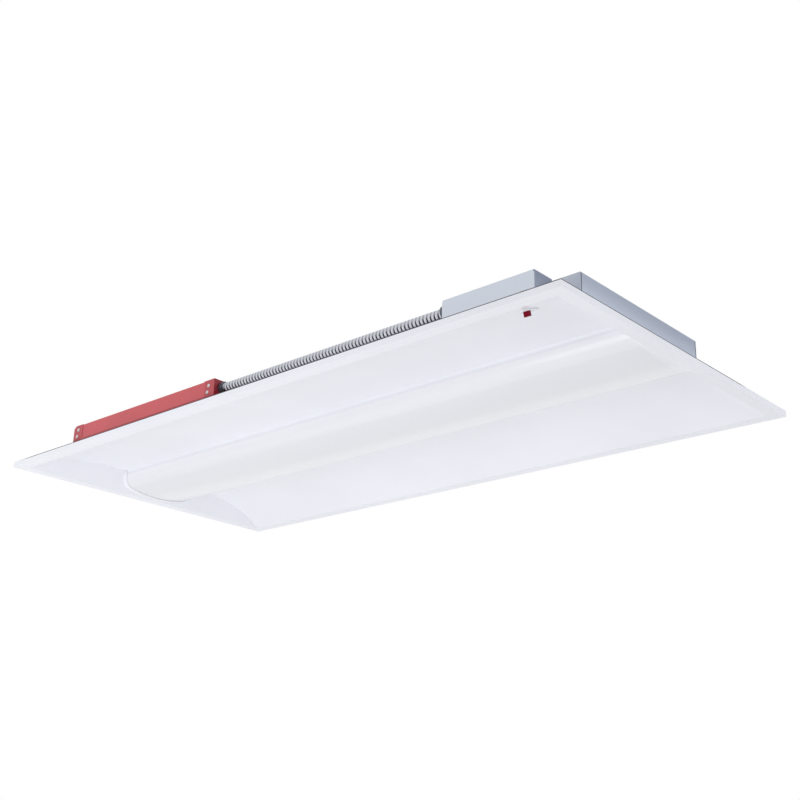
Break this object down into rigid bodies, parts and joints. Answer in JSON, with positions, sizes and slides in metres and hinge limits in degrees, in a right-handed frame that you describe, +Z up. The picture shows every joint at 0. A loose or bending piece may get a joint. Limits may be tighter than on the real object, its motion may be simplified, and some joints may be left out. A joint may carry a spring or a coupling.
{
  "type": "recessed troffer light",
  "caption": "Lay-in ceiling troffer: white coved reflector, opal centre lens, galvanised housing, emergency battery pack, wiring box and test switch",
  "frame": {"origin": "centre of the lowest plane, which is the underside of the flange that rests on the ceiling grid", "axes": "+X along the long side, +Y across it away from the battery pack, +Z up into the ceiling; the light shines along -Z"},
  "size_m": [1.213, 0.603, 0.0986],
  "materials": {
    "white_enamel": "semi-gloss",
    "white_plastic": "gloss",
    "opal_lens": "satin",
    "galvanised_steel": "satin",
    "bright_steel": "satin",
    "hose_steel": "satin",
    "zinc_casting": "satin",
    "red_enamel": "semi-gloss",
    "board_white": "satin",
    "driver_enamel": "satin",
    "cell_wrap": "gloss",
    "circuit_green": "satin",
    "terminal_grey": "matte",
    "black_plastic": "matte",
    "ground_green": "semi-gloss",
    "button_red": "gloss"
  },
  "bodies": {
    "fixture": {"battery_cells": "cell_wrap", "conduit_connector_box": "zinc_casting", "conduit_connector_pack": "zinc_casting", "conduit_locknuts": "zinc_casting", "cover_hinge_pins": "bright_steel", "far_wing": "white_enamel", "flexible_conduit": "hose_steel", "grid_clip_posts": "galvanised_steel", "grid_clip_rivets": "bright_steel", "ground_screw": "ground_green", "housing": "galvanised_steel", "housing_end_left": "galvanised_steel", "housing_end_right": "galvanised_steel", "housing_screws": "bright_steel", "led_boards_far": "board_white", "led_boards_near": "board_white", "led_driver": "driver_enamel", "led_tray": "white_enamel", "left_end_plate": "white_enamel", "lens": "opal_lens", "lens_end_cap_left": "white_plastic", "lens_end_cap_right": "white_plastic", "near_wing": "white_enamel", "pack_base": "red_enamel", "pack_brackets": "galvanised_steel", "pack_circuit_board": "circuit_green", "pack_cover": "red_enamel", "pack_end_cap_left": "red_enamel", "pack_end_cap_right": "red_enamel", "pack_screws": "bright_steel", "right_end_plate": "white_enamel", "terminal_block": "terminal_grey", "test_switch_bezel": "white_plastic", "test_switch_body": "black_plastic", "test_switch_nut": "black_plastic", "wire_bushing": "black_plastic", "wiring_box": "galvanised_steel"},
    "test_button": {"test_button": "button_red"},
    "wiring_box_cover": {"wiring_box_cover": "galvanised_steel"},
    "clip_far_left": {"grid_clip_far_left": "galvanised_steel"},
    "clip_far_right": {"grid_clip_far_right": "galvanised_steel"},
    "clip_near_left": {"grid_clip_near_left": "galvanised_steel"},
    "clip_near_right": {"grid_clip_near_right": "galvanised_steel"}
  },
  "joints": [
    {"name": "test_button_press", "type": "slide", "parent": "fixture", "child": "test_button", "axis": [0, -0.3076, 0.9515], "range_m": [0, 0.0025], "stiffness_N_per_m": 400, "springref_m": -0.0025},
    {"name": "wiring_cover_hinge", "type": "hinge", "parent": "fixture", "child": "wiring_box_cover", "pos_m": [0.4155, -0.16, 0.093], "axis": [-1, 0, 0], "range_deg": [0, 90]},
    {"name": "clip_far_right_swing", "type": "hinge", "parent": "fixture", "child": "clip_far_right", "pos_m": [0.43, 0.231, 0.0426], "axis": [0, 0, -1], "range_deg": [0, 90]},
    {"name": "clip_far_left_swing", "type": "hinge", "parent": "fixture", "child": "clip_far_left", "pos_m": [-0.43, 0.231, 0.0426], "axis": [0, 0, 1], "range_deg": [0, 90]},
    {"name": "clip_near_right_swing", "type": "hinge", "parent": "fixture", "child": "clip_near_right", "pos_m": [0.43, -0.231, 0.0426], "axis": [0, 0, 1], "range_deg": [0, 90]},
    {"name": "clip_near_left_swing", "type": "hinge", "parent": "fixture", "child": "clip_near_left", "pos_m": [-0.43, -0.231, 0.0426], "axis": [0, 0, -1], "range_deg": [0, 90]}
  ]
}
